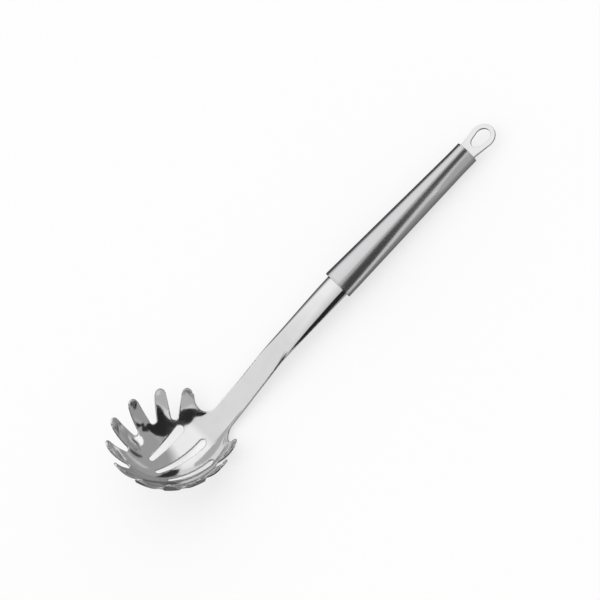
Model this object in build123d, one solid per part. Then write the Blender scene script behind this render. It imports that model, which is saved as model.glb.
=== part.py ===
from build123d import *
import os
from math import acos, asin, atan, cos, degrees, hypot, radians, sin, tan

os.makedirs("parts", exist_ok=True)

# A pasta server: a polished head pressed from one steel sheet, held in a hollow tapered handle.
# It is drawn along its handle's axis, X, from the handle's mouth at zero: the bowl lies towards
# -X and opens upwards, and the hanging loop lies towards +X. At the end the whole is tipped
# and lifted so that it rests on a table at Z zero.

# Handle
handle_length = 119.0
mouth_diameter = 21.0
rear_diameter = 16.0
straight_rear_length = 9.0
handle_wall = 0.8
cap_thickness = 1.2
cap_edge_round = 0.35
fit_clearance = 0.12

# Head sheet and bowl, whose radius is that of its inner face
head_sheet = 1.4
bowl_radius = 42.9
bowl_reach = 134.0
bowl_lift = 28.0
bowl_tilt = 30.0

# Tines, gaps and slots: angles are taken at the bowl's centre, from its lowest point outwards
# for a height and from the far tine round the bowl for a direction
tine_count = 11
tine_spacing = 27.95
end_tine_shift = 2.5
tine_tip_angle = 70.5
tine_tip_width = 6.4
tip_corner_radius = 3.25
rim_allowance = 24.0
gap_root_angle = 41.9
gap_root_radius = 2.4
valley_angle = 64.7
valley_past_tine = 19.05
valley_radius = 8.0
slot_wide_radius = 3.0
slot_narrow_radius = 1.7
middle_slot_wide_angle = 29.8
middle_slot_narrow_angle = 16.3
side_slot_wide_angle = 33.1
side_slot_narrow_angle = 19.9
side_slot_wide_direction = 131.7
side_slot_narrow_direction = 47.9

# Shank: a flat strip near the bowl, rolled to a half tube where it enters the handle
shank_rise = 10.3
shank_half_width = 8.75
shank_creep = 1.1
shank_corner_radius = 3.2
arch_half_angle = 85.0
arch_drop = 2.2
bend_softness = 1.2
fold_softness_share = 0.12
fold_growth = 1.5
tang_length = 36.0

# How far the bowl's curve runs on beside the shank before the strip is alone
blend_length = 30.0
blend_inner_width = 7.0
blend_outer_width = 17.5
fade_start = 20.0
fade_end = 38.0
flare_start = 12.0
valley_run_out = 40.0
slope_step = 0.5

# The shank's sheet is a hair thinner than the bowl's, and runs a little way into it
seam_step = 0.05
seam_overlap = 1.0

# Hanging loop, measured from the handle's rear face
loop_sheet = 1.5
loop_reach = 22.6
loop_outer_radius = 8.9
loop_base_width = 13.6
eye_end = 19.5
eye_end_radius = 5.5
eye_start = 4.9
eye_start_radius = 4.6
loop_tang_length = 22.0

# Sections along the shank, places across each, and the overrun of every cut
flare_sections = 13
shank_sections = 16
section_columns = 18
cut_overrun = 9.0

# Worked out
mouth_radius = mouth_diameter / 2
rear_radius = rear_diameter / 2
bore_radius = mouth_radius - handle_wall
taper_length = handle_length - cap_thickness * 2 - straight_rear_length
arch_radius = bore_radius - fit_clearance * 2
skin_radius = bowl_radius + seam_step
bowl_centre = Vector(-bowl_reach, 0, bowl_lift)
bowl_axis = Vector(sin(radians(bowl_tilt)), 0, cos(radians(bowl_tilt)))
far_direction = Vector(-cos(radians(bowl_tilt)), 0, sin(radians(bowl_tilt)))
side_direction = Vector(0, 1, 0)


def smooth(share):
    share = min(max(share, 0), 1)
    return share * share * (3 - 2 * share)


def on_bowl(height_angle, direction_angle, radius=bowl_radius):
    """Point of the bowl's sphere by its angle from the lowest point and its direction."""
    height, turn = radians(height_angle), radians(direction_angle)
    outward = far_direction * cos(turn) + side_direction * sin(turn)
    return bowl_centre + (outward * sin(height) - bowl_axis * cos(height)) * radius


def plane_on_bowl(height_angle, direction_angle):
    """Plane touching the bowl, its x pointing up the wall and its z away from the centre."""
    height, turn = radians(height_angle), radians(direction_angle)
    outward = far_direction * cos(turn) + side_direction * sin(turn)
    up_wall = outward * cos(height) + bowl_axis * sin(height)
    place = on_bowl(height_angle, direction_angle)
    return Plane(origin=place, x_dir=up_wall, z_dir=(place - bowl_centre).normalized())


# Shank's line: it leaves the bowl along a tangent, then bends to run nearly level into the handle
rise = radians(shank_rise)
start_x = bowl_centre.X + skin_radius * sin(rise)
start_z = bowl_centre.Z - skin_radius * cos(rise)
start_turn = bowl_tilt + shank_rise
arch_half_width = arch_radius * sin(radians(arch_half_angle))
arch_depth = arch_radius * (1 - cos(radians(arch_half_angle)))
mouth_edge_z = -arch_drop + arch_radius - arch_depth
creep = tan(radians(shank_creep))
fold_x = (start_z - tan(rise) * start_x - mouth_edge_z) / (creep - tan(rise))


def edge_height(x):
    """Height of the shank's long edges."""
    climbing = start_z + tan(rise) * (x - start_x)
    level = mouth_edge_z + creep * x
    return (climbing + level - hypot(climbing - level, bend_softness)) / 2


def arch_at(x):
    """How far the shank's middle stands above its edges."""
    share = min((x - fold_x) / -fold_x, 1)
    share = min((share + hypot(share, fold_softness_share)) / 2, 1)
    return arch_depth * (1 - (1 - share) ** fold_growth)


def bore_share(x):
    """The tang narrows inside the handle as the bore does."""
    bore_loss = (mouth_radius - rear_radius) * max(x - cap_thickness, 0) / taper_length
    return 1 - bore_loss / bore_radius


def crown_height(x):
    return (edge_height(min(x, 0)) + arch_at(x)) * bore_share(x)


def corner_of_section(x):
    """Flat half width, corner radius and corner angle of the rolled section."""
    arch = arch_at(x)
    share = arch / arch_depth
    radius = shank_corner_radius + (arch_radius - shank_corner_radius) * share
    angle = acos(1 - arch / radius)
    half_width = shank_half_width + (arch_half_width - shank_half_width) * share
    return half_width - radius * sin(angle), radius, angle


def strip_point(x, across):
    """Point of the shank's upper face, by its distance across along the face."""
    flat, radius, angle = corner_of_section(x)
    distance = abs(across)
    if distance <= flat:
        side, drop = distance, 0
    else:
        turned = (distance - flat) / radius
        side, drop = flat + radius * sin(turned), -radius * (1 - cos(turned))
    dish_share = 1 - smooth((x - start_x) / cos(rise) / blend_length)
    bowl_angle = distance / skin_radius
    side += (skin_radius * sin(bowl_angle) - side) * dish_share
    drop += (skin_radius * (1 - cos(bowl_angle)) - drop) * dish_share
    side *= bore_share(x)
    drop *= bore_share(x)
    slope = atan((crown_height(x + slope_step) - crown_height(x - slope_step)) / (2 * slope_step))
    if across < 0:
        side = -side
    return Vector(x - sin(slope) * drop, side, crown_height(x) + cos(slope) * drop)


def sphere_point(turn_angle, across):
    """Point of the bowl's inner face by its turn along the server and its arc length across."""
    turn, tilt = radians(turn_angle - bowl_tilt), across / skin_radius
    reach = cos(tilt) * sin(turn)
    depth = cos(tilt) * cos(turn)
    return bowl_centre + Vector(reach, sin(tilt), -depth) * skin_radius


def head_point(x, across):
    """Upper face beyond the bowl: the strip in the middle, the bowl's sphere beside it."""
    run = (x - start_x) / cos(rise)
    middle = smooth((blend_outer_width - abs(across)) / (blend_outer_width - blend_inner_width))
    alone = smooth((run - fade_start) / (fade_end - fade_start))
    share = 1 - (1 - middle) * (1 - alone)
    if share >= 1:
        return strip_point(x, across)
    beside = sphere_point(start_turn + degrees(run / skin_radius), across)
    return strip_point(x, across) * share + beside * (1 - share)


def half_blank(x):
    """Half of the shank sheet's width, along its face, before the outline is cut."""
    flat, radius, angle = corner_of_section(x)
    wide = blend_outer_width + seam_overlap
    run = (x - start_x) / cos(rise)
    narrowing = smooth((run - flare_start) / (fade_end - flare_start))
    return wide + (flat + radius * angle - wide) * narrowing


def skin_slope(x):
    """Climb of the skin's middle line, in radians."""
    if x < start_x:
        return rise + (x - start_x) / cos(rise) / skin_radius
    ahead, behind = crown_height(x + slope_step), crown_height(x - slope_step)
    return atan((ahead - behind) / (2 * slope_step))


def skin_point(x, across):
    """Upper face of the shank's sheet, from just inside the bowl to the tang's end."""
    if x < start_x:
        return sphere_point(bowl_tilt + degrees(skin_slope(x)), across)
    return head_point(x, across)


def sheet_section(x):
    """Outline of the sheet where it is crossed at one place along the shank."""
    half = half_blank(x)
    upper, lower = [], []
    for column in range(section_columns + 1):
        across = half * (2 * column / section_columns - 1)
        sideways = skin_point(x, across + slope_step) - skin_point(x, across - slope_step)
        if start_x < x < start_x + fade_end:
            along = skin_point(x + slope_step, across) - skin_point(x - slope_step, across)
        else:
            along = Vector(cos(skin_slope(x)), 0, sin(skin_slope(x)))
        point = skin_point(x, across)
        upper.append(point)
        lower.append(point - along.cross(sideways).normalized() * (head_sheet - 2 * seam_step))
    return Wire([
        Edge.make_spline(upper),
        Edge.make_line(upper[-1], lower[-1]),
        Edge.make_spline(lower[::-1]),
        Edge.make_line(lower[0], upper[0]),
    ])


def shank_blank():
    """Shank and tang, pressed from the strip, with the flare towards the bowl not yet cut."""
    first_x = start_x - seam_overlap * cos(rise)
    flare_step = (start_x + fade_end - first_x) / flare_sections
    shank_step = (tang_length - start_x - fade_end) / shank_sections
    places = [first_x + flare_step * row for row in range(flare_sections)]
    places += [start_x + fade_end + shank_step * row for row in range(shank_sections + 1)]
    return Solid.make_loft([sheet_section(x) for x in places])


def bowl_shell():
    """Drawn dish, open above and open beside the shank."""
    frame = Plane(origin=bowl_centre, x_dir=bowl_axis, z_dir=side_direction)
    shell = frame * (Sphere(bowl_radius + head_sheet) - Sphere(bowl_radius))
    size = 2 * (bowl_radius + head_sheet)
    above = Plane(origin=bowl_centre, x_dir=far_direction, z_dir=bowl_axis)
    shell -= above * Box(size, size, size, align=(Align.CENTER, Align.CENTER, Align.MIN))
    way_in = Vector(cos(rise), 0, sin(rise))
    window = Plane(origin=bowl_centre, x_dir=way_in, z_dir=(sin(rise), 0, -cos(rise)))
    width = 2 * skin_radius * sin(blend_outer_width / skin_radius)
    return shell - window * Box(size, width, size, align=(Align.MIN, Align.CENTER, Align.MIN))


def up_wall_distance(height_angle, from_angle):
    return bowl_radius * sin(radians(height_angle - from_angle))


tine_directions = [
    (index - (tine_count - 1) / 2) * tine_spacing for index in range(tine_count)
]
tine_directions[0] += end_tine_shift
tine_directions[-1] -= end_tine_shift


def prism(plane, outline, depth=cut_overrun):
    return plane * extrude(outline, depth, both=True)


def gap_cutters():
    """Gaps between tines, each with a round root and straight, parting sides."""
    middle = (gap_root_angle + tine_tip_angle) / 2
    root_x = up_wall_distance(gap_root_angle, middle) + gap_root_radius
    tip_x = up_wall_distance(tine_tip_angle, middle)
    tip_ring = bowl_radius * sin(radians(tine_tip_angle))
    far_x = tip_x + cut_overrun
    cutters = []
    for left, right in zip(tine_directions, tine_directions[1:]):
        half_turn = radians(right - left) / 2
        half_gap = tip_ring * sin(half_turn) - tine_tip_width / 2 * cos(half_turn)
        far_half = half_gap + (half_gap - gap_root_radius) * (far_x - tip_x) / (tip_x - root_x)
        root = Edge.make_circle(gap_root_radius, Plane((root_x, 0, 0)))
        mouth = Edge.make_line((far_x, -far_half), (far_x, far_half))
        outline = make_hull([root, mouth])
        cutters.append(prism(plane_on_bowl(middle, (left + right) / 2), outline))
    return cutters


def tip_cutter():
    """Ring of sheet above the tines, less the round end of each tine."""
    corner_angle = tine_tip_angle - degrees(tip_corner_radius / bowl_radius)
    inner, outer = bowl_radius - cut_overrun, bowl_radius + cut_overrun
    side = Plane(origin=bowl_centre, x_dir=far_direction, z_dir=side_direction)
    low = Vector(sin(radians(corner_angle)), -cos(radians(corner_angle)))
    top_angle = tine_tip_angle + rim_allowance
    top = Vector(sin(radians(top_angle)), -cos(radians(top_angle)))
    mid = (low + top).normalized()
    outline = make_face([
        Edge.make_line(low * inner, low * outer),
        Edge.make_three_point_arc(low * outer, mid * outer, top * outer),
        Edge.make_line(top * outer, top * inner),
        Edge.make_three_point_arc(top * inner, mid * inner, low * inner),
    ])
    ring = revolve(side * outline, Axis(bowl_centre, bowl_axis), 360)
    ring = ring.rotate(Axis(bowl_centre, bowl_axis), 180)
    ends = [
        plane_on_bowl(corner_angle, direction) * Cylinder(tip_corner_radius, 4 * cut_overrun)
        for direction in tine_directions
    ]
    return ring - ends


def valley_cutter():
    """Open corner between the end tine and the shank, with its wide round root."""
    plane = plane_on_bowl(valley_angle, tine_directions[-1] + valley_past_tine)
    sides = []
    for height_angle in ((gap_root_angle + tine_tip_angle) / 2, tine_tip_angle):
        ring = bowl_radius * sin(radians(height_angle))
        direction = tine_directions[-1] + degrees(tine_tip_width / 2 / ring)
        sides.append(plane.to_local_coords(on_bowl(height_angle, direction)))
    tine_end = sides[1] + (sides[1] - sides[0]).normalized() * cut_overrun
    run_out = start_x + valley_run_out
    shank_side = plane.to_local_coords(head_point(run_out, half_blank(run_out)))
    corners = [(sides[1].X, sides[1].Y), (tine_end.X, tine_end.Y),
               (shank_side.X, tine_end.Y), (shank_side.X, shank_side.Y)]
    lines = [Edge.make_line(a, b) for a, b in zip(corners, corners[1:])]
    outline = make_hull([Edge.make_circle(valley_radius), *lines])
    return prism(plane, outline, 2 * cut_overrun)


def slot_cutter(wide, narrow):
    """Drain slot with round ends, between two places on the bowl given by their angles."""
    first, second = on_bowl(*wide), on_bowl(*narrow)
    away = ((first + second) / 2 - bowl_centre).normalized()
    plane = Plane(origin=bowl_centre + away * bowl_radius, x_dir=second - first, z_dir=away)
    start, end = plane.to_local_coords(first), plane.to_local_coords(second)
    outline = make_hull([
        Edge.make_circle(slot_wide_radius, Plane((start.X, start.Y, 0))),
        Edge.make_circle(slot_narrow_radius, Plane((end.X, end.Y, 0))),
    ])
    return prism(plane, outline)


def server_head():
    bowl = bowl_shell() - tip_cutter()
    for cutter in gap_cutters():
        bowl = bowl - cutter
    side_wide = (side_slot_wide_angle, side_slot_wide_direction)
    side_narrow = (side_slot_narrow_angle, side_slot_narrow_direction)
    side_slot = slot_cutter(side_wide, side_narrow)
    middle_slot = slot_cutter((middle_slot_wide_angle, 180), (middle_slot_narrow_angle, 0))
    bowl = bowl - middle_slot - side_slot - side_slot.mirror(Plane.XZ)
    valley = valley_cutter()
    return bowl + shank_blank() - valley - valley.mirror(Plane.XZ)


def handle_tube():
    """Tapered tube, rolled and seam welded, open at both ends under its caps."""
    front, rear = cap_thickness, handle_length - cap_thickness
    taper_end = rear - straight_rear_length
    outline = make_face(Polyline(
        (front, mouth_radius), (taper_end, rear_radius), (rear, rear_radius),
        (rear, rear_radius - handle_wall), (taper_end, rear_radius - handle_wall),
        (front, bore_radius), close=True,
    ))
    return revolve(Plane.XZ * outline, Axis.X)


def cap_disc(x, radius, outer_side):
    """Round end cap, its outer rim eased."""
    disc = Plane((x, 0, 0), z_dir=(1, 0, 0)) * Cylinder(
        radius, cap_thickness, align=(Align.CENTER, Align.CENTER, Align.MIN)
    )
    return fillet(disc.edges().sort_by(Axis.X)[outer_side], cap_edge_round)


def front_cap():
    """Cap of the handle's mouth, with an arched slot that the shank passes through."""
    centre_z = crown_height(0) - arch_radius
    outer = arch_radius + fit_clearance
    inner = arch_radius - head_sheet - fit_clearance
    spread = arch_half_angle + degrees(2 * fit_clearance / arch_radius)
    face = Plane((0, 0, centre_z), x_dir=(0, 1, 0), z_dir=(1, 0, 0))
    ends = [Vector(sin(radians(angle)), cos(radians(angle))) for angle in (-spread, 0, spread)]
    slot = make_face([
        Edge.make_three_point_arc(*[end * outer for end in ends]),
        Edge.make_line(ends[2] * outer, ends[2] * inner),
        Edge.make_three_point_arc(*[end * inner for end in ends[::-1]]),
        Edge.make_line(ends[0] * inner, ends[0] * outer),
    ])
    return cap_disc(0, mouth_radius, 0) - face * extrude(slot, 2 * cap_thickness, both=True)


def rear_cap():
    """Cap of the handle's rear end, with a slot for the loop's tang."""
    start = handle_length - cap_thickness
    slot = Box(2 * cut_overrun, loop_base_width + 2 * fit_clearance, loop_sheet + 2 * fit_clearance)
    return cap_disc(start, rear_radius, -1) - Pos(handle_length, 0, 0) * slot


def hanging_loop():
    """Flat stamped eye with a tang that is held inside the handle's rear end."""
    half_base = loop_base_width / 2
    ring = Edge.make_circle(loop_outer_radius, Plane((loop_reach - loop_outer_radius, 0, 0)))
    base = Edge.make_line((0, -half_base), (0, half_base))
    eye = make_hull([
        Edge.make_circle(eye_end_radius, Plane((eye_end - eye_end_radius, 0, 0))),
        Edge.make_circle(eye_start_radius, Plane((eye_start + eye_start_radius, 0, 0))),
    ])
    tang = Pos(-loop_tang_length / 2, 0) * Rectangle(loop_tang_length, loop_base_width)
    plate = extrude(make_hull([ring, base]) + tang - eye, loop_sheet / 2, both=True)
    return Pos(handle_length, 0, 0) * plate


# The server lies on the bowl's underside and the lower rim of the handle's rear end
outer_bowl_radius = bowl_radius + head_sheet
rest_run = handle_length + bowl_reach
rest_climb = bowl_lift + rear_radius
rest_tilt = degrees(asin(outer_bowl_radius / hypot(rest_run, rest_climb)) - atan(rest_climb / rest_run))

parts = {
    "server_head": server_head(),
    "handle_tube": handle_tube(),
    "front_cap": front_cap(),
    "rear_cap": rear_cap(),
    "hanging_loop": hanging_loop(),
}
tipped = {name: part.rotate(Axis.Y, rest_tilt) for name, part in parts.items()}
boxes = [part.bounding_box() for part in tipped.values()]
middle_x = (min(box.min.X for box in boxes) + max(box.max.X for box in boxes)) / 2
lift = Pos(-middle_x, 0, -min(box.min.Z for box in boxes))
print("tilt", round(rest_tilt, 4), "shift", [round(value, 4) for value in lift.position])
for name, part in tipped.items():
    placed = lift * part
    export_step(placed, f"parts/{name}.step")
    print(name, round(placed.volume, 1), "solids", len(placed.solids()))
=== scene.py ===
from math import acos, asin, asinh, atan, atan2, cos, degrees, hypot, pi
from math import radians, sin, sinh, sqrt, tan

import bpy
from mathutils import Matrix, Vector
from mathutils.geometry import delaunay_2d_cdt
from mathutils.kdtree import KDTree


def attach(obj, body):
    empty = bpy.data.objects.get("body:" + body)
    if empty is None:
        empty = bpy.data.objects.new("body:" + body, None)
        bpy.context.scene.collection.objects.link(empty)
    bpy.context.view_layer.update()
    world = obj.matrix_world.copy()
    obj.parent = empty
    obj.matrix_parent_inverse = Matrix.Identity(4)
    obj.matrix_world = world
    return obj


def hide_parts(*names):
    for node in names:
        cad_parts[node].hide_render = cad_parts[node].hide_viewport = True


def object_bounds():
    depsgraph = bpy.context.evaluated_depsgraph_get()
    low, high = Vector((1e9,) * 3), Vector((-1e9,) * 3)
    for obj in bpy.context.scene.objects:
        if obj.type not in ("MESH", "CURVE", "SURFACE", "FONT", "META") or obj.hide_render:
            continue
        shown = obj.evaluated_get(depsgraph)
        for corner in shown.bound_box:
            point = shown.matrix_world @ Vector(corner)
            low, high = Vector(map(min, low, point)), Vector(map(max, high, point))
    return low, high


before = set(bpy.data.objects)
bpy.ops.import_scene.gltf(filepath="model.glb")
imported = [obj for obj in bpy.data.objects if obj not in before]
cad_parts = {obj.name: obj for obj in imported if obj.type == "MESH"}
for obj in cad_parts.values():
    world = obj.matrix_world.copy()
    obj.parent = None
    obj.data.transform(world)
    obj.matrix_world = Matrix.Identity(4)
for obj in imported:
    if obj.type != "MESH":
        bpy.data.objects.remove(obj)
cad_low, cad_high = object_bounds()
mm = 0.001

# Server head: one sheet of stainless steel, cut as a flat blank, pressed into the scoop and the
# shank, and polished to a mirror with eased edges. Its tang runs on inside the handle. Sizes are
# in millimetres along the handle's axis, X, from the handle's mouth at zero.

sheet = 1.4
edge_round = 0.35
edge_segments = 3
sharp_angle = radians(50)
polished_colour = (0.80, 0.80, 0.805, 1)
polished_roughness = 0.075

# the scoop: part of a ball, centred before the handle's mouth and above its axis. Its own axis is
# tilted, and the tines, gaps and open corners at the shank are set by degrees from it and round it.
bowl_radius = 42.9
bowl_reach = 134.0
bowl_lift = 28.0
bowl_tilt = radians(30)
tine_count = 11
tine_spacing = 27.95
end_tine_shift = 2.5
tine_tip_angle = 70.5
tine_tip_width = 6.4
tip_corner_radius = 3.25
gap_root_angle = 41.9
gap_root_radius = 2.4
valley_angle = 64.7
valley_past_tine = 19.05
valley_radius = 8.0
valley_reach = 11.5

# drain slots: the wide and the narrow end, each by degrees from the scoop's axis and round it
slot_wide_radius = 3.0
slot_narrow_radius = 1.7
slots = (
    ((29.8, 180), (16.3, 0)),
    ((33.1, 131.7), (19.9, 47.9)),
    ((33.1, -131.7), (19.9, -47.9)),
)

# the shank: flat and climbing at the scoop, folding level to a rolled arch at the handle's mouth
rise = radians(10.3)
shank_half_width = 8.75
shank_creep = radians(1.1)
shank_corner_radius = 3.2
arch_radius = 9.46
arch_half_angle = radians(85)
arch_drop = 2.2
bend_softness = 1.2
fold_softness_share = 0.12
fold_growth = 1.5
tang_length = 36.0

# where the scoop's face passes over into the shank's
blend_length = 30.0
blend_inner_width = 7.0
blend_outer_width = 17.5
fade_start = 20.0
fade_end = 38.0
flare_start = 12.0
flare_width = 18.5
shank_start_overlap = 6.0
valley_run_out = 40.0

# the handle that takes the tang
handle_length = 119.0
mouth_radius = 10.5
rear_radius = 8.0
handle_wall = 0.8
cap_thickness = 1.2
straight_rear_length = 9.0
taper_length = handle_length - 2 * cap_thickness - straight_rear_length

# spacing of the mesh, and how near two points count as one
blank_step = 0.8
outline_step = 0.7
least_step = 0.22
edge_clearance = 0.7 * blank_step
same_place = 0.001
join_distance = 1e-5

centre = Vector((-bowl_reach, 0, bowl_lift))
bowl_axis = Vector((sin(bowl_tilt), 0, cos(bowl_tilt)))
far = Vector((-cos(bowl_tilt), 0, sin(bowl_tilt)))
side = Vector((0, 1, 0))
start_x = centre.x + bowl_radius * sin(rise)
start_z = centre.z - bowl_radius * cos(rise)
flat_start = bowl_radius * (bowl_tilt + rise)
arch_half_width = arch_radius * sin(arch_half_angle)
arch_depth = arch_radius * (1 - cos(arch_half_angle))
mouth_edge_z = -arch_drop + arch_radius - arch_depth
fold_x = (start_z - tan(rise) * start_x - mouth_edge_z) / (tan(shank_creep) - tan(rise))


def smooth(share):
    """Share from 0 to 1 that starts and ends gently."""
    share = min(max(share, 0), 1)
    return share * share * (3 - 2 * share)


def on_bowl(height, direction):
    """Point of the scoop's inner face, by its angle from the axis and round it, in degrees."""
    height, direction = radians(height), radians(direction)
    outward = far * cos(direction) + side * sin(direction)
    return centre + (outward * sin(height) - bowl_axis * cos(height)) * bowl_radius


def bowl_point(along, across):
    """The same face by arc lengths along the server and across it."""
    turn, lean = along / bowl_radius - bowl_tilt, across / bowl_radius
    outward = Vector((cos(lean) * sin(turn), sin(lean), -cos(lean) * cos(turn)))
    return centre + outward * bowl_radius


def crown_height(x):
    """Height of the shank's middle line."""
    climbing = start_z + tan(rise) * (min(x, 0) - start_x)
    level = mouth_edge_z + tan(shank_creep) * min(x, 0)
    edge = (climbing + level - hypot(climbing - level, bend_softness)) / 2
    return (edge + arch_at(x)) * bore_share(x)


def arch_at(x):
    """Depth of the shank's arch, which grows from the fold to the handle's mouth."""
    share = min((x - fold_x) / -fold_x, 1)
    share = min((share + hypot(share, fold_softness_share)) / 2, 1)
    return arch_depth * (1 - (1 - share) ** fold_growth)


def bore_share(x):
    """The tang narrows with the handle's bore."""
    loss = (mouth_radius - rear_radius) * max(x - cap_thickness, 0) / taper_length
    return 1 - loss / (mouth_radius - handle_wall)


def rolled_section(x):
    """Flat half width, corner radius and corner angle of the shank's section."""
    arch = arch_at(x)
    share = arch / arch_depth
    radius = shank_corner_radius + (arch_radius - shank_corner_radius) * share
    angle = acos(1 - arch / radius)
    half = shank_half_width + (arch_half_width - shank_half_width) * share
    return half - radius * sin(angle), radius, angle


def half_blank(x):
    """Half of the shank's width along its face."""
    flat, radius, angle = rolled_section(x)
    run = (x - start_x) / cos(rise)
    narrowing = smooth((run - flare_start) / (fade_end - flare_start))
    return flare_width + (flat + radius * angle - flare_width) * narrowing


def strip_point(x, across):
    """Point of the shank's upper face, by its width along that face."""
    flat, radius, angle = rolled_section(x)
    distance = abs(across)
    if distance <= flat:
        out, drop = distance, 0
    else:
        turned = (distance - flat) / radius
        out, drop = flat + radius * sin(turned), -radius * (1 - cos(turned))
    dish = 1 - smooth((x - start_x) / cos(rise) / blend_length)
    lean = distance / bowl_radius
    out += (bowl_radius * sin(lean) - out) * dish
    drop += (bowl_radius * (1 - cos(lean)) - drop) * dish
    out, drop = out * bore_share(x), drop * bore_share(x)
    slope = atan(crown_height(x + 0.5) - crown_height(x - 0.5))  # over one millimetre
    out = out if across > 0 else -out
    return Vector((x - sin(slope) * drop, out, crown_height(x) + cos(slope) * drop))


def pressed(along, across):
    """Upper face of the pressed sheet, by the place on the flat blank."""
    if along <= flat_start or abs(across) >= blend_outer_width:
        return bowl_point(along, across)
    run = along - flat_start
    x = start_x + run * cos(rise)
    middle = smooth((blend_outer_width - abs(across)) / (blend_outer_width - blend_inner_width))
    alone = smooth((run - fade_start) / (fade_end - fade_start))
    share = 1 - (1 - middle) * (1 - alone)
    if share >= 1:
        return strip_point(x, across)
    return strip_point(x, across) * share + bowl_point(along, across) * (1 - share)


def widened(across):
    """Places across the blank are spread so that its triangles keep their shape on the scoop."""
    return bowl_radius * asinh(tan(across / bowl_radius))


def narrowed(spread):
    """The true place across the blank of a spread one."""
    return bowl_radius * atan(sinh(spread / bowl_radius))


def blank_place(point):
    """Place on the spread blank of a point of the scoop."""
    offset = (point - centre) / bowl_radius
    along = bowl_radius * (atan2(offset.x, -offset.z) + bowl_tilt)
    return Vector((along, widened(bowl_radius * asin(offset.y))))


def touching_plane(height, direction):
    """Plane that touches the scoop, x up its wall and z outwards."""
    turn = radians(direction)
    outward = far * cos(turn) + side * sin(turn)
    up_wall = outward * cos(radians(height)) + bowl_axis * sin(radians(height))
    origin = on_bowl(height, direction)
    away = (origin - centre).normalized()
    return Matrix((up_wall, away.cross(up_wall), away)).transposed(), origin


def traced(plane, points):
    """Blank places of an outline that is drawn on a plane touching the scoop."""
    axes, origin = plane
    places = []
    for x, y in points:
        depth = sqrt(bowl_radius ** 2 - x * x - y * y) - bowl_radius
        places.append(blank_place(origin + axes @ Vector((x, y, depth))))
    return places


def circle(x, y, radius, step=outline_step):
    """Points round a circle, anticlockwise."""
    count = int(2 * pi * radius / step)
    return [
        (x + radius * cos(2 * pi * index / count), y + radius * sin(2 * pi * index / count))
        for index in range(count)
    ]


def hull(points):
    """Outline round the points, anticlockwise."""
    def half(ordered):
        chain = []
        for point in ordered:
            while len(chain) > 1:
                (ax, ay), (bx, by) = chain[-2], chain[-1]
                if (bx - ax) * (point[1] - ay) - (by - ay) * (point[0] - ax) > 0:
                    break
                chain.pop()
            chain.append(point)
        return chain[:-1]
    ordered = sorted(set(points))
    return half(ordered) + half(ordered[::-1])


def divided(points, closed=True, step=outline_step):
    """The outline with points added along its long sides."""
    result = []
    ends = points[1:] + points[:1] if closed else points[1:]
    for start, end in zip(points, ends):
        start, end = Vector(start), Vector(end)
        count = max(round((end - start).length / step), 1)
        result += [start.lerp(end, index / count) for index in range(count)]
    if not closed:
        result.append(Vector(points[-1]))
    return result


tine_directions = [(index - (tine_count - 1) / 2) * tine_spacing for index in range(tine_count)]
tine_directions[0] += end_tine_shift
tine_directions[-1] -= end_tine_shift
corner_angle = tine_tip_angle - degrees(tip_corner_radius / bowl_radius)
gap_middle = (gap_root_angle + tine_tip_angle) / 2


def dish_outline():
    """The scoop's plain rim, at the height where the tines' round ends begin."""
    count = int(2 * pi * bowl_radius * sin(radians(corner_angle)) / outline_step)
    return [blank_place(on_bowl(corner_angle, 360 * index / count)) for index in range(count)]


def shank_outline():
    """The flat shank with its tang, from inside the scoop to the tang's end."""
    places = []
    start, end = flat_start - shank_start_overlap, flat_start + (tang_length - start_x) / cos(rise)
    count = int((end - start) / outline_step)
    for index in range(count + 1):
        along = start + (end - start) * index / count
        x = start_x + (along - flat_start) * cos(rise)
        places.append((along, widened(half_blank(max(x, start_x)))))
    outline = places + [(along, -across) for along, across in places[::-1]]
    return divided(outline)


def gap_outline(left, right):
    """Gap between two tines: a round root that opens past their tips."""
    def up_wall(angle):
        return bowl_radius * sin(radians(angle - gap_middle))
    root_x, tip_x = up_wall(gap_root_angle) + gap_root_radius, up_wall(tine_tip_angle)
    half_turn = radians(right - left) / 2
    ring = bowl_radius * sin(radians(tine_tip_angle))
    half_gap = ring * sin(half_turn) - tine_tip_width / 2 * cos(half_turn)
    end_x = tip_x + gap_root_radius
    end_half = half_gap + (half_gap - gap_root_radius) * (end_x - tip_x) / (tip_x - root_x)
    ends = [(end_x, -end_half), (end_x, end_half)]
    outline = hull(circle(root_x, 0, gap_root_radius, outline_step / 2) + ends)
    return traced(touching_plane(gap_middle, (left + right) / 2), divided(outline))


def tip_outline(direction):
    """Round end of a tine."""
    points = circle(0, 0, tip_corner_radius, outline_step / 2)
    return traced(touching_plane(corner_angle, direction), points)


def slot_outline(wide, narrow):
    """Drain slot, round at both ends and wider at one."""
    first, second = on_bowl(*wide), on_bowl(*narrow)
    away = ((first + second) / 2 - centre).normalized()
    along = (second - first).normalized()
    axes = Matrix((along, away.cross(along), away)).transposed()
    origin = centre + away * bowl_radius
    start, end = (axes.transposed() @ (point - origin) for point in (first, second))
    outline = hull(circle(start.x, start.y, slot_wide_radius, outline_step / 2)
                   + circle(end.x, end.y, slot_narrow_radius, outline_step / 2))
    return traced((axes, origin), divided(outline))


def settled(plane, target, guess):
    """Blank place whose pressed point lies over a point of the plane, found step by step."""
    axes, origin = plane
    place, nudge, most_tries = Vector(guess), 0.01, 8

    def miss(at):
        local = axes.transposed() @ (pressed(at.x, narrowed(at.y)) - origin)
        return Vector((local.x - target[0], local.y - target[1]))
    for _ in range(most_tries):
        here = miss(place)
        by_x = (miss(place + Vector((nudge, 0))) - here) / nudge
        by_y = (miss(place + Vector((0, nudge))) - here) / nudge
        change = Matrix(((by_x.x, by_y.x), (by_x.y, by_y.y))).inverted() @ here
        place -= change
        if change.length < same_place:
            break
    return place


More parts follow.
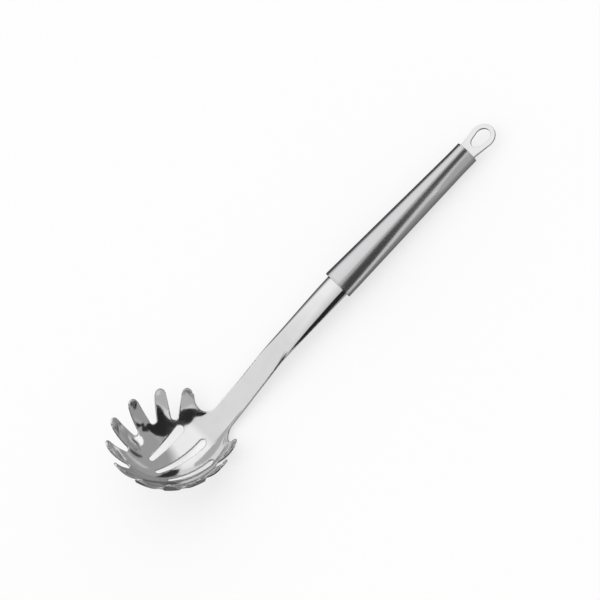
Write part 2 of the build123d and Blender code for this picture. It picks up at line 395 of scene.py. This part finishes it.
def valley_outline():
    """Open corner between the end tine and the shank, with its wide round root."""
    plane = touching_plane(valley_angle, tine_directions[-1] + valley_past_tine)
    axes, origin = plane

    def local(point):
        return (axes.transposed() @ (point - origin)).to_2d()
    sides = []
    for height in (gap_middle, tine_tip_angle):
        ring = bowl_radius * sin(radians(height))
        direction = tine_directions[-1] + degrees(tine_tip_width / 2 / ring)
        sides.append(local(on_bowl(height, direction)))
    tine_end = sides[1] + (sides[1] - sides[0]).normalized() * valley_reach
    run_out = start_x + valley_run_out
    along_out = flat_start + valley_run_out / cos(rise)
    shank_side = local(pressed(along_out, half_blank(run_out)))
    ends = [tuple(sides[1]), tuple(tine_end), tuple(shank_side)]
    outline = hull(circle(0, 0, valley_radius) + ends)
    while (Vector(outline[0]) - shank_side).length > same_place:
        outline = outline[1:] + outline[:1]
    points = divided(outline, closed=False)
    guess = Vector((along_out, widened(half_blank(run_out))))
    places = []
    for point in points:
        guess = settled(plane, point, guess)
        places.append(guess.copy())
    outside = [places[-1], Vector((along_out, places[-1].y + flare_width)), places[0]]
    return places[:-1] + divided(outside, closed=False, step=4 * outline_step)[:-1]


def mirrored(outline):
    """The same outline on the server's other side."""
    return [Vector((place[0], -place[1])) for place in outline][::-1]


def filled(kept, removed, inner=()):
    """Triangles over the kept outlines and clear of the removed ones, with their places."""
    points, faces = [], []
    for outline in kept + removed:
        turns = zip(outline, outline[1:] + outline[:1])
        area = sum(here[0] * after[1] - after[0] * here[1] for here, after in turns)
        faces.append(list(range(len(points), len(points) + len(outline))))
        anticlockwise = outline if area > 0 else outline[::-1]
        points += [Vector((place[0], place[1])) for place in anticlockwise]
    found = delaunay_2d_cdt(points + list(inner), [], faces, 0, join_distance)
    triangles = [
        face for face, origins in zip(found[2], found[5])
        if any(origin < len(kept) for origin in origins)
        and not any(origin >= len(kept) for origin in origins)
    ]
    return found[0], triangles


def cut_edges(places, triangles):
    """Outlines of the cut blank, longest first, with even steps between their points."""
    sides = {(face[turn - 1], face[turn]) for face in triangles for turn in range(3)}
    after = {start: end for start, end in sides if (end, start) not in sides}
    edges = []
    while after:
        start, here = after.popitem()
        edge = [start]
        while here != start:
            edge.append(here)
            here = after.pop(here)
        spaced = []
        for index in edge:
            point = pressed(places[index].x, narrowed(places[index].y))
            if not spaced or (point - spaced[-1][1]).length > least_step:
                spaced.append((places[index], point))
        if (spaced[0][1] - spaced[-1][1]).length < least_step:
            spaced.pop()
        edges.append([place for place, point in spaced])
    return sorted(edges, key=len, reverse=True)


kept = [dish_outline(), shank_outline()]
kept += [tip_outline(direction) for direction in tine_directions]
removed = [gap_outline(*pair) for pair in zip(tine_directions, tine_directions[1:])]
removed += [slot_outline(*slot) for slot in slots]
valley = valley_outline()
removed += [valley, mirrored(valley)]
edges = cut_edges(*filled(kept, removed))
rim, drain_slots = edges[0], edges[1:1 + len(slots)]

# points inside the blank, evenly spaced on the pressed sheet and clear of its edges
inner = []
columns = int(bowl_radius * radians(tine_tip_angle) / blank_step) + 1
rows = int(columns * 2 / sqrt(3)) + 1
for row in range(-rows, rows + 1):
    for column in range(-columns, columns + 1):
        x = (column + row % 2 / 2) * blank_step
        y = row * blank_step * sqrt(3) / 2
        height = degrees(hypot(x, y) / bowl_radius)
        if height < tine_tip_angle:
            place = blank_place(on_bowl(height, degrees(atan2(y, x))))
            if place.x < flat_start or abs(narrowed(place.y)) > blend_outer_width:
                inner.append(place)
shank_rows = int((tang_length - start_x) / cos(rise) / blank_step)
shank_columns = int(widened(blend_outer_width) / blank_step) + 1
for row in range(shank_rows):
    for column in range(-shank_columns, shank_columns + 1):
        along = flat_start + (row + 0.5) * blank_step
        place = Vector((along, (column + row % 2 / 2) * blank_step))
        x = start_x + (along - flat_start) * cos(rise)
        if abs(narrowed(place.y)) < min(half_blank(x), blend_outer_width):
            inner.append(place)
edge_places = [place for edge in [rim] + drain_slots for place in edge]
edge_tree = KDTree(len(edge_places))
for index, place in enumerate(edge_places):
    edge_tree.insert(pressed(place[0], narrowed(place[1])), index)
edge_tree.balance()
inner = [
    place for place in inner
    if edge_tree.find(pressed(place.x, narrowed(place.y)))[2] > edge_clearance
]

places, triangles = filled([rim], drain_slots, inner)

# how the server lies: tipped onto the scoop's underside and the rim of the handle's rear end
rest_run, rest_climb = handle_length + bowl_reach, bowl_lift + rear_radius
rest_slant = asin((bowl_radius + sheet) / hypot(rest_run, rest_climb))
rest_tilt = rest_slant - atan(rest_climb / rest_run)
loop_reach = 22.6
loop_sheet = 1.5
tipped = Matrix.Rotation(rest_tilt, 4, "Y")
loop_end = tipped @ Vector((handle_length + loop_reach, 0, loop_sheet / 2))
lift = bowl_radius + sheet - (tipped @ centre).z
lie = Matrix.Scale(mm, 4) @ Matrix.Translation((cad_high[0] / mm - loop_end.x, 0, lift)) @ tipped


def lone(piece):
    """Selects one piece alone, ready for an operator."""
    bpy.ops.object.select_all(action="DESELECT")
    piece.select_set(True)
    bpy.context.view_layer.objects.active = piece


def finished(piece, *modifiers):
    """Adds modifiers, each a name, a kind and its settings, and applies them."""
    lone(piece)
    for name, kind, settings in modifiers:
        modifier = piece.modifiers.new(name, kind)
        for setting, value in settings.items():
            setattr(modifier, setting, value)
        bpy.ops.object.modifier_apply(modifier=name)


mesh = bpy.data.meshes.new("polished_head")
mesh.from_pydata([pressed(place.x, narrowed(place.y)) for place in places], [], triangles)
head = bpy.data.objects.new("polished_head", mesh)
bpy.context.collection.objects.link(head)
lone(head)
bpy.ops.object.mode_set(mode="EDIT")
bpy.ops.mesh.select_all(action="SELECT")
bpy.ops.mesh.delete_loose()
bpy.ops.object.mode_set(mode="OBJECT")
finished(
    head,
    ("Sheet", "SOLIDIFY", {"thickness": sheet, "offset": -1}),
    ("Edges", "BEVEL", {
        "width": edge_round, "segments": edge_segments, "limit_method": "ANGLE",
        "angle_limit": sharp_angle, "use_clamp_overlap": False, "harden_normals": True,
    }),
)
head.data.transform(lie)
bpy.ops.object.shade_smooth()


def shader_group(name, inputs, outputs):
    """New node group with its sockets, and its tree, inputs and outputs."""
    group = bpy.data.node_groups.new(name, "ShaderNodeTree")
    for label, kind in inputs:
        group.interface.new_socket(label, in_out="INPUT", socket_type="NodeSocket" + kind)
    for label, kind in outputs:
        group.interface.new_socket(label, in_out="OUTPUT", socket_type="NodeSocket" + kind)
    start, end = group.nodes.new("NodeGroupInput"), group.nodes.new("NodeGroupOutput")
    return group, start.outputs, end.inputs


def joined(tree, kind, settings=(), **sockets):
    """New node, each socket fed by another or set to a value, named or by number, as in i0."""
    node = tree.nodes.new("ShaderNode" + kind)
    for setting, value in dict(settings).items():
        setattr(node, setting, value)
    for label, value in sockets.items():
        socket = node.inputs[int(label[1:]) if label[0] == "i" else label.replace("_", " ")]
        if isinstance(value, bpy.types.NodeSocket):
            tree.links.new(value, socket)
        else:
            socket.default_value = value
    return node.outputs


def steel(name, colour, roughness):
    """New steel material, and its node tree, shader and Object coordinates."""
    material = bpy.data.materials.new(name)
    material.use_nodes = True
    tree = material.node_tree
    shader = tree.nodes["Principled BSDF"]
    shader.inputs["Base Color"].default_value = colour
    shader.inputs["Metallic"].default_value = 1
    shader.inputs["Roughness"].default_value = roughness
    coordinates = tree.nodes.new("ShaderNodeTexCoord")
    return material, tree, shader, coordinates.outputs["Object"]


def finish(tree, shader, group, colour, place, relief, **values):
    """Feeds one of the steel finishes into a material: its tone, roughness and relief."""
    marks = tree.nodes.new("ShaderNodeGroup")
    marks.node_tree = group
    tree.links.new(place, marks.inputs["Place"])
    for label, value in values.items():
        marks.inputs[label.replace("_", " ").capitalize()].default_value = value
    tone = joined(
        tree, "Mix", {"data_type": "RGBA", "blend_type": "MULTIPLY"}, i0=1.0, i6=colour,
        i7=marks.outputs["Tone"],
    )
    tree.links.new(tone[2], shader.inputs["Base Color"])
    tree.links.new(marks.outputs["Roughness"], shader.inputs["Roughness"])
    bump = joined(tree, "Bump", Height=marks.outputs["Height"], Distance=relief)
    tree.links.new(bump[0], shader.inputs["Normal"])


# buffed finish: a faint waviness of the pressed sheet, dull smears and crossing hairlines
hairline_scale = 260.0
hairline_stretch = 26.0
hairline_leans = (radians(24), radians(-57))
smear_low, smear_high, smear_tone = 0.42, 0.68, 0.965
buffed, given, result = shader_group(
    "buffed finish",
    (("Place", "Vector"), ("Wave scale", "Float"), ("Wave height", "Float"),
     ("Smear scale", "Float"), ("Hairline height", "Float"), ("Roughness", "Float"),
     ("Smear roughness", "Float")),
    (("Tone", "Color"), ("Roughness", "Float"), ("Height", "Float")),
)
wave = joined(buffed, "TexNoise", Vector=given["Place"], Scale=given["Wave scale"], Detail=1.0)
smear = joined(
    buffed, "TexNoise", Vector=given["Place"], Scale=given["Smear scale"], Detail=5.0,
    Distortion=1.5,
)
smear_share = joined(
    buffed, "MapRange", {"interpolation_type": "SMOOTHSTEP"}, Value=smear["Fac"],
    From_Min=smear_low, From_Max=smear_high,
)
height = joined(
    buffed, "Math", {"operation": "MULTIPLY"}, i0=wave["Fac"], i1=given["Wave height"]
)[0]
for lean in hairline_leans:
    laid = joined(
        buffed, "Mapping", Vector=given["Place"], Rotation=(0.0, 0.0, lean),
        Scale=(1.0, hairline_stretch, hairline_stretch),
    )
    hairline = joined(buffed, "TexNoise", Vector=laid[0], Scale=hairline_scale, Detail=2.0)
    height = joined(
        buffed, "Math", {"operation": "MULTIPLY_ADD"}, i0=hairline["Fac"],
        i1=given["Hairline height"], i2=height,
    )[0]
rough = joined(
    buffed, "Math", {"operation": "MULTIPLY_ADD"}, i0=smear_share["Result"],
    i1=given["Smear roughness"], i2=given["Roughness"],
)
tone = joined(buffed, "MapRange", Value=smear_share["Result"], To_Min=1.0, To_Max=smear_tone)
buffed.links.new(tone["Result"], result["Tone"])
buffed.links.new(rough[0], result["Roughness"])
buffed.links.new(height, result["Height"])

polished, tree, shader, place = steel("polished steel", polished_colour, polished_roughness)
finish(
    tree, shader, buffed, polished_colour, place, mm, wave_scale=85.0, wave_height=0.05,
    smear_scale=34.0, hairline_height=0.0012, roughness=polished_roughness, smear_roughness=0.05,
)
head.data.materials.clear()
head.data.materials.append(polished)
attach(head, "root")
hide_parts("server_head")

# Handle tube: stainless steel tube, rolled, seam welded and tapered, with a short straight run at
# its rear, then brushed along its length to a satin. Its ends are dressed before they are capped.

tube_sides = 128
tube_easing = 0.12
bend_length = 2.0
bend_x = handle_length - cap_thickness - straight_rear_length
taper = (mouth_radius - rear_radius) / taper_length
tube_rings = (
    (cap_thickness + bend_length, mouth_radius - taper * bend_length),
    (bend_x - bend_length, rear_radius + taper * bend_length),
    (bend_x + bend_length, rear_radius),
    (handle_length - cap_thickness - bend_length, rear_radius),
    (handle_length - cap_thickness, rear_radius),
)
brushed_colour = (0.66, 0.66, 0.67, 1)
brushed_roughness = 0.24
grain_stretch = 0.015


def fresh(name):
    """Names the primitive just added and settles its place in its mesh."""
    piece = bpy.context.object
    piece.name = piece.data.name = name
    bpy.ops.object.transform_apply(location=True, rotation=True, scale=True)
    return piece


def eased(piece, width, segments=2):
    """Breaks the sharp edges and keeps the flat faces flat."""
    lone(piece)
    bpy.ops.object.shade_smooth()
    finished(
        piece,
        ("Easing", "BEVEL", {
            "width": width, "segments": segments, "limit_method": "ANGLE",
            "angle_limit": sharp_angle,
        }),
        ("Flats", "WEIGHTED_NORMAL", {}),
    )


bpy.ops.object.select_all(action="DESELECT")
bpy.ops.mesh.primitive_circle_add(
    vertices=tube_sides, radius=mouth_radius, location=(cap_thickness, 0, 0),
    rotation=(0, pi / 2, 0),
)
tube = fresh("brushed_tube")
bpy.ops.object.mode_set(mode="EDIT")
bpy.ops.mesh.select_all(action="SELECT")
x, radius = cap_thickness, mouth_radius
for next_x, next_radius in tube_rings:
    bpy.ops.mesh.extrude_region_move(TRANSFORM_OT_translate={"value": (next_x - x, 0, 0)})
    drawn = next_radius / radius
    bpy.ops.transform.resize(value=(1, drawn, drawn), center_override=(next_x, 0, 0))
    x, radius = next_x, next_radius
bpy.ops.mesh.select_all(action="SELECT")
bpy.ops.mesh.normals_make_consistent(inside=False)
bpy.ops.object.mode_set(mode="OBJECT")
finished(tube, ("Wall", "SOLIDIFY", {"thickness": handle_wall, "offset": -1}))
eased(tube, tube_easing)
tube.data.transform(lie)

# brushed finish: long shallow grain of a belt, a coarser streak in it, and a patchy sheen
grain_low, grain_high, grain_tone = 0.3, 0.7, 0.95
sheen_low, sheen_high = 0.35, 0.65
belted, given, result = shader_group(
    "brushed finish",
    (("Place", "Vector"), ("Grain scale", "Float"), ("Streak scale", "Float"),
     ("Grain height", "Float"), ("Roughness", "Float"), ("Sheen spread", "Float")),
    (("Tone", "Color"), ("Roughness", "Float"), ("Height", "Float")),
)
grain = joined(
    belted, "TexNoise", Vector=given["Place"], Scale=given["Grain scale"], Detail=3.0,
    Roughness=0.6,
)
streak = joined(belted, "TexNoise", Vector=given["Place"], Scale=given["Streak scale"], Detail=2.0)
relief = joined(
    belted, "Math", {"operation": "MULTIPLY"}, i0=grain["Fac"], i1=given["Grain height"]
)
sheen = joined(
    belted, "MapRange", {"interpolation_type": "SMOOTHSTEP"}, Value=streak["Fac"],
    From_Min=sheen_low, From_Max=sheen_high,
)
rough = joined(
    belted, "Math", {"operation": "MULTIPLY_ADD"}, i0=sheen["Result"], i1=given["Sheen spread"],
    i2=given["Roughness"],
)
tone = joined(
    belted, "MapRange", Value=grain["Fac"], From_Min=grain_low, From_Max=grain_high,
    To_Min=grain_tone, To_Max=1.0,
)
belted.links.new(tone["Result"], result["Tone"])
belted.links.new(rough[0], result["Roughness"])
belted.links.new(relief[0], result["Height"])

brushed, tree, shader, place = steel("brushed steel", brushed_colour, brushed_roughness)
along_handle = joined(tree, "Mapping", Vector=place, Rotation=(0.0, -rest_tilt, 0.0))
stretched = joined(tree, "Mapping", Vector=along_handle[0], Scale=(grain_stretch, 1.0, 1.0))
finish(
    tree, shader, belted, brushed_colour, stretched[0], mm, grain_scale=3200.0, streak_scale=700.0,
    grain_height=0.0012, roughness=brushed_roughness, sheen_spread=0.04,
)
tube.data.materials.append(brushed)
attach(tube, "root")
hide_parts("handle_tube")

# Front cap: stainless steel disc blanked with an arched slot for the shank, pressed into the
# handle's mouth, welded round and dressed flush, its rim eased.

slot_clearance = 0.12
slot_cut_length = 4 * cap_thickness
rim_round = 0.35
rim_segments = 4
slot_easing = 0.1
arch_steps = 40
cap_colour = (0.68, 0.68, 0.69, 1)
cap_roughness = 0.17
cap_grain_stretch = 0.04


def capping(name, x, radius, outer_x):
    """Round disc for a tube's end, its rim eased on the outside."""
    bpy.ops.object.select_all(action="DESELECT")
    bpy.ops.mesh.primitive_cylinder_add(
        vertices=tube_sides, radius=radius, depth=cap_thickness,
        location=(x + cap_thickness / 2, 0, 0), rotation=(0, pi / 2, 0),
    )
    cap = fresh(name)
    bpy.ops.object.mode_set(mode="EDIT")
    bpy.ops.mesh.select_all(action="DESELECT")
    bpy.context.tool_settings.mesh_select_mode = (False, True, False)
    bpy.ops.object.mode_set(mode="OBJECT")
    for edge in cap.data.edges:
        ends = [cap.data.vertices[index].co.x for index in edge.vertices]
        edge.select = all(abs(end - outer_x) < slot_easing for end in ends)
    bpy.ops.object.mode_set(mode="EDIT")
    bpy.ops.mesh.bevel(offset=rim_round, segments=rim_segments, affect="EDGES")
    bpy.ops.object.mode_set(mode="OBJECT")
    return cap


def cut_out(piece, cutter):
    """Takes the cutter's shape out of a piece, and the cutter away."""
    finished(
        piece,
        ("Cut", "BOOLEAN", {"operation": "DIFFERENCE", "object": cutter, "solver": "EXACT"}),
    )
    bpy.data.objects.remove(cutter)


front_cap = capping("front_cap_disc", 0, mouth_radius, 0)
arch_centre = crown_height(0) - arch_radius
slot_inner = arch_radius - sheet - slot_clearance
slot_outer = arch_radius + slot_clearance
slot_spread = arch_half_angle + 2 * slot_clearance / arch_radius
bpy.ops.object.select_all(action="DESELECT")
bpy.ops.mesh.primitive_plane_add(
    size=1, location=(0, 0, arch_centre + (slot_inner + slot_outer) / 2),
)
bpy.context.object.scale = (slot_cut_length, slot_outer - slot_inner, 1)
bpy.context.object.rotation_euler = (pi / 2, 0, 0)
cutter = fresh("arch_cutter")
bpy.ops.object.mode_set(mode="EDIT")
bpy.ops.mesh.select_all(action="SELECT")
bpy.ops.transform.rotate(
    value=-slot_spread, orient_axis="X", center_override=(0, 0, arch_centre)
)
bpy.ops.mesh.spin(
    steps=arch_steps, angle=2 * slot_spread, center=(0, 0, arch_centre), axis=(1, 0, 0)
)
bpy.ops.mesh.select_all(action="SELECT")
bpy.ops.mesh.normals_make_consistent(inside=False)
bpy.ops.object.mode_set(mode="OBJECT")
cut_out(front_cap, cutter)
eased(front_cap, slot_easing)
front_cap.data.transform(lie)
satin, tree, shader, place = steel("satin cap steel", cap_colour, cap_roughness)
across_cap = joined(
    tree, "Mapping", Vector=place, Rotation=(0.0, -rest_tilt, 0.0),
    Scale=(1.0, 1.0, cap_grain_stretch),
)
finish(
    tree, shader, belted, cap_colour, across_cap[0], mm, grain_scale=2600.0, streak_scale=500.0,
    grain_height=0.003, roughness=cap_roughness, sheen_spread=0.05,
)
front_cap.data.materials.append(satin)
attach(front_cap, "root")
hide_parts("front_cap")

# Rear cap: the same kind of disc for the handle's narrow end, with a straight slot for the
# hanging loop's tang, welded on and dressed flush.

loop_base_width = 13.6
rear_cap = capping("rear_cap_disc", handle_length - cap_thickness, rear_radius, handle_length)
bpy.ops.object.select_all(action="DESELECT")
bpy.ops.mesh.primitive_cube_add(size=1, location=(handle_length, 0, 0))
bpy.context.object.scale = (
    slot_cut_length, loop_base_width + 2 * slot_clearance, loop_sheet + 2 * slot_clearance
)
cut_out(rear_cap, fresh("slot_cutter"))
eased(rear_cap, slot_easing)
rear_cap.data.transform(lie)
rear_cap.data.materials.append(satin)
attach(rear_cap, "root")
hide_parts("rear_cap")

# Hanging loop: an eye stamped from flat stainless steel sheet, tumbled to bright soft edges, with
# a straight tang that goes through the rear cap and is welded inside the handle.

loop_outer_radius = 8.9
eye_end = 19.5
eye_end_radius = 5.5
eye_start = 4.9
eye_start_radius = 4.6
eye_cut_depth = 4 * loop_sheet
loop_tang_length = 22.0
loop_sides = 96
loop_easing = 0.3
loop_easing_segments = 3
flat_angle = radians(0.5)
backward = -0.99
loop_colour = (0.78, 0.78, 0.785, 1)
loop_roughness = 0.09


def round_bar(x, radius, thickness):
    """Short upright bar at a place behind the handle's end."""
    bpy.ops.object.select_all(action="DESELECT")
    bpy.ops.mesh.primitive_cylinder_add(
        vertices=loop_sides, radius=radius, depth=thickness, location=(handle_length + x, 0, 0)
    )
    return fresh("round_bar")


def wrapped(name, *bars):
    """Joins bars and wraps them in one closed skin."""
    bpy.ops.object.select_all(action="DESELECT")
    for bar in bars:
        bar.select_set(True)
    bpy.context.view_layer.objects.active = bars[0]
    bpy.ops.object.join()
    bars[0].name = bars[0].data.name = name
    bpy.ops.object.mode_set(mode="EDIT")
    bpy.ops.mesh.select_all(action="SELECT")
    bpy.ops.mesh.convex_hull()
    bpy.ops.mesh.select_all(action="SELECT")
    bpy.ops.mesh.dissolve_limited(angle_limit=flat_angle)
    bpy.ops.mesh.normals_make_consistent(inside=False)
    bpy.ops.object.mode_set(mode="OBJECT")
    return bars[0]


ring = round_bar(loop_reach - loop_outer_radius, loop_outer_radius, loop_sheet)
bpy.ops.object.select_all(action="DESELECT")
bpy.ops.mesh.primitive_cube_add(size=1, location=(handle_length + loop_easing, 0, 0))
bpy.context.object.scale = (2 * loop_easing, loop_base_width, loop_sheet)
loop = wrapped("tumbled_loop", ring, fresh("base"))
bpy.ops.object.mode_set(mode="EDIT")
bpy.ops.mesh.select_all(action="DESELECT")
bpy.context.tool_settings.mesh_select_mode = (False, False, True)
bpy.ops.object.mode_set(mode="OBJECT")
for face in loop.data.polygons:
    face.select = face.normal.x < backward
bpy.ops.object.mode_set(mode="EDIT")
bpy.ops.mesh.extrude_region_move(TRANSFORM_OT_translate={"value": (-loop_tang_length, 0, 0)})
bpy.ops.object.mode_set(mode="OBJECT")
eye_far = round_bar(eye_end - eye_end_radius, eye_end_radius, eye_cut_depth)
eye_near = round_bar(eye_start + eye_start_radius, eye_start_radius, eye_cut_depth)
cut_out(loop, wrapped("eye_cutter", eye_far, eye_near))
eased(loop, loop_easing, loop_easing_segments)
loop.data.transform(lie)
bright, tree, shader, place = steel("tumbled steel", loop_colour, loop_roughness)
finish(
    tree, shader, buffed, loop_colour, place, mm, wave_scale=170.0, wave_height=0.03,
    smear_scale=90.0, hairline_height=0.0015, roughness=loop_roughness, smear_roughness=0.05,
)
loop.data.materials.append(bright)
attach(loop, "root")
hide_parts("hanging_loop")

# Floor: a plain white table top with a dull painted face, lit so evenly that it keeps only a
# faint shade under the server. The steel doesn't mirror it: the studio below stands for it.

floor_size = 12
floor_roughness = 0.9
floor_glow = 0.62
floor_diffuse = 0.34

bpy.ops.object.select_all(action="DESELECT")
bpy.ops.mesh.primitive_plane_add(size=floor_size, location=(0, 0, 0))
floor = bpy.context.object
floor.name = "floor"
white = bpy.data.materials.new("white table")
white.use_nodes = True
surface = white.node_tree.nodes["Principled BSDF"]
surface.inputs["Base Color"].default_value = (floor_diffuse, floor_diffuse, floor_diffuse, 1)
surface.inputs["Roughness"].default_value = floor_roughness
surface.inputs["Specular IOR Level"].default_value = 0
surface.inputs["Emission Color"].default_value = (1, 1, 1, 1)
surface.inputs["Emission Strength"].default_value = floor_glow
floor.data.materials.append(white)
floor.visible_glossy = False

# Light: an even white studio, darker behind the server, towards the table and past both its ends,
# as the steel shows it. Each level goes with a direction round the handle's axis, in degrees from
# straight up towards the camera. What isn't mirrored is lit evenly.

studio_levels = (
    (-180, 0.20), (-150, 0.12), (-115, 0.10), (-95, 0.15), (-84, 0.40), (-74, 0.75), (-62, 0.98),
    (-50, 1.05), (0, 1.03), (20, 0.95), (35, 0.86), (50, 0.80), (62, 0.70), (78, 0.55), (95, 0.48),
    (112, 0.39), (130, 0.33), (150, 0.26), (180, 0.18),
)

# towards the handle's end and past the scoop it grows darker, by the direction's own X
handle_end_level = 0.38
handle_end_start = 0.47
handle_end_full = 0.77
scoop_ends = ((-0.10, -0.35, 0.80), (-0.55, -0.80, 0.30))
even_level = 1.08

world = bpy.data.worlds.new("studio")
bpy.context.scene.world = world
world.use_nodes = True
sky = world.node_tree
direction = joined(sky, "SeparateXYZ", Vector=joined(sky, "TexCoord")["Generated"])
to_camera = joined(sky, "Math", {"operation": "MULTIPLY"}, i0=direction["Y"], i1=-1)
turn = joined(sky, "Math", {"operation": "ARCTAN2"}, i0=to_camera[0], i1=direction["Z"])
turn_share = joined(sky, "MapRange", Value=turn[0], From_Min=-pi, From_Max=pi)
ramp = sky.nodes.new("ShaderNodeValToRGB")
sky.links.new(turn_share["Result"], ramp.inputs["Fac"])
stops = ramp.color_ramp.elements
for index, (angle, level) in enumerate(studio_levels):
    position = (angle + 180) / 360
    stop = stops[index] if index < 2 else stops.new(position)
    stop.position = position
    stop.color = (level, level, level, 1)
round_level = ramp.outputs["Color"]
for first, last, share_left in scoop_ends:
    fading = joined(
        sky, "MapRange", {"interpolation_type": "SMOOTHSTEP"}, Value=direction["X"],
        From_Min=first, From_Max=last, To_Min=1, To_Max=share_left,
    )
    round_level = joined(
        sky, "Math", {"operation": "MULTIPLY"}, i0=round_level, i1=fading["Result"]
    )[0]
handle_end = joined(
    sky, "MapRange", {"interpolation_type": "SMOOTHSTEP"}, Value=direction["X"],
    From_Min=handle_end_start, From_Max=handle_end_full,
)
mirrored_level = joined(sky, "Mix", Factor=handle_end["Result"], A=round_level, B=handle_end_level)
seen_by = joined(sky, "LightPath")
studio_level = joined(
    sky, "Mix", Factor=seen_by["Is Glossy Ray"], A=even_level, B=mirrored_level["Result"]
)
background = sky.nodes["Background"]
background.inputs["Color"].default_value = (1, 1, 1, 1)
sky.links.new(studio_level["Result"], background.inputs["Strength"])
bpy.context.scene.view_settings.view_transform = "Standard"

# Studio cards: matt black, grey and white cards hung round the server, as for photographing steel.
# They draw the dark and light lines and patches in it, and light nothing. Each is named after the
# part that mirrors it, and one with a smaller radius hangs before one with a larger.

card_step = 4.0


def studio_card(name, radius, level, outline):
    """Glowing card bent round the handle's axis, outlined by millimetres and degrees there."""
    arc = radians(radius)
    edge = divided([(x, angle * arc) for x, angle in outline], step=card_step)
    places, triangles = filled([edge], [])
    turns = [place.y / radius for place in places]
    points = [
        (place.x, -radius * sin(turn), radius * cos(turn)) for place, turn in zip(places, turns)
    ]
    mesh = bpy.data.meshes.new(name)
    mesh.from_pydata(points, [], triangles)
    mesh.transform(lie)
    card = bpy.data.objects.new(name, mesh)
    bpy.context.collection.objects.link(card)
    matt = bpy.data.materials.new(name)
    matt.use_nodes = True
    glow = joined(matt.node_tree, "Emission", Strength=level)
    surface = matt.node_tree.nodes["Material Output"].inputs["Surface"]
    matt.node_tree.links.new(glow[0], surface)
    mesh.materials.append(matt)
    card.visible_camera = False
    card.visible_diffuse = False
    card.visible_shadow = False


studio_card("handle_black", radius=35, level=0.04, outline=(
    (0, 55), (5, 54), (17, 50), (36, 41), (56, 32), (76, 23), (97, 11), (109, 4), (120, -1),
    (128, -4), (128, 27), (120, 31), (109, 37), (97, 48), (76, 61), (56, 75), (36, 91), (17, 104),
    (5, 110), (0, 112),
))
studio_card("handle_shade", radius=36, level=0.5, outline=(
    (0, 38), (5, 36), (17, 32), (36, 26), (56, 18), (76, 8), (97, -2), (109, -8), (120, -12),
    (128, -14), (128, 4), (120, 7), (109, 12), (97, 19), (76, 30), (56, 40), (36, 48), (17, 58),
    (5, 62), (0, 63),
))
studio_card("handle_fringe", radius=37, level=0.8, outline=(
    (0, 112), (17, 106), (36, 92), (56, 78), (76, 62), (97, 50), (109, 40), (128, 30),
    (128, 42), (120, 46), (109, 54), (97, 68), (76, 89), (56, 104), (36, 117), (17, 128), (0, 132),
))
studio_card("handle_rear", radius=38, level=0.5, outline=(
    (92, 64), (104, 40), (128, 28), (128, 100), (104, 110), (92, 116),
))
studio_card("handle_far", radius=36, level=0.06, outline=(
    (-1, -64), (128, -60), (128, -170), (-1, -170),
))
studio_card("shank_black", radius=70, level=0.02, outline=(
    (-75, 62), (-71, 56), (-62, 58), (-50, 66), (-30, 74), (-10, 75), (2, 75), (2, 112),
    (-30, 113), (-50, 106), (-56, 80), (-61, 67),
))
studio_card("scoop_black", radius=70, level=0.02, outline=(
    (-190, 0), (-184, 6), (-177, 12), (-165, 19), (-155, 21), (-148, 19), (-140, 15), (-134, 17),
    (-129, 26), (-130, 36), (-134, 43), (-136, 52), (-134, 60), (-130, 64), (-122, 62), (-112, 52),
    (-100, 44), (-88, 50), (-76, 53), (-69, 52), (-69, 36), (-76, 21), (-86, 14), (-97, 7),
    (-130, 3), (-140, 0), (-148, -4), (-157, -6), (-166, -5), (-176, -5), (-186, -3),
))
studio_card("root_black", radius=45, level=0.03, outline=(
    (-98, 40), (-96, 38), (-93, 35), (-89, 32), (-80, 40), (-73, 46), (-70, 50), (-79, 54),
    (-82, 55), (-89, 51), (-96, 43),
))
studio_card("tip_grey", radius=71, level=0.52, outline=(
    (-222, 20), (-200, 14), (-180, 16), (-160, 24), (-145, 24), (-140, 40), (-141, 60), (-138, 74),
    (-160, 84), (-200, 70), (-222, 45),
))
studio_card("wall_black", radius=70, level=0.03, outline=(
    (-93, -106), (-104, -86), (-103, -68), (-88, -70), (-82, -86),
))
studio_card("wall_shade", radius=70, level=0.48, outline=(
    (-122, -66), (-138, -61), (-158, -64), (-158, -92), (-122, -92),
))
studio_card("tine_grey", radius=71, level=0.36, outline=(
    (-71, 52), (-80, 50), (-88, 46), (-98, 62), (-108, 95), (-100, 112), (-71, 104), (-71, 80),
))
studio_card("wall_grey", radius=71, level=0.4, outline=(
    (-97, 8), (-86, 16), (-79, 22), (-79, -8), (-92, -2),
))
studio_card("spot_white", radius=72, level=1.15, outline=(
    (0, 50), (10, 70), (60, 85), (160, 85), (220, 60), (140, 36), (60, 32), (15, 40),
))

# Camera: above the server on its near side, with the handle running up to the right. It is placed
# by the handle's mouth and axis, in millimetres and radians, and the picture's pixels.

camera_distance = 1290.0
camera_climb = -0.6180
camera_yaw = 0.0114
camera_roll = 0.7982
pixels_per_mm = 1.565
image_width = 600
sensor_width = 36
axis_x_pixel = 337.5
axis_y_pixel = 285.2

turned = (Matrix.Rotation(camera_roll, 3, "Z") @ Matrix.Rotation(camera_yaw, 3, "Y")
          @ Matrix.Rotation(camera_climb, 3, "X"))
towards = turned.transposed().to_4x4()
camera_data = bpy.data.cameras.new("camera")
camera = bpy.data.objects.new("camera", camera_data)
bpy.context.collection.objects.link(camera)
spot = towards @ Vector((0, 0, camera_distance))
camera.matrix_world = Matrix.Translation(lie @ spot) @ tipped @ towards
camera_data.sensor_width = sensor_width
camera_data.lens = pixels_per_mm * camera_distance / image_width * sensor_width
camera_data.shift_x = -(axis_x_pixel - image_width / 2) / image_width
camera_data.shift_y = (axis_y_pixel - image_width / 2) / image_width
bpy.context.scene.camera = camera
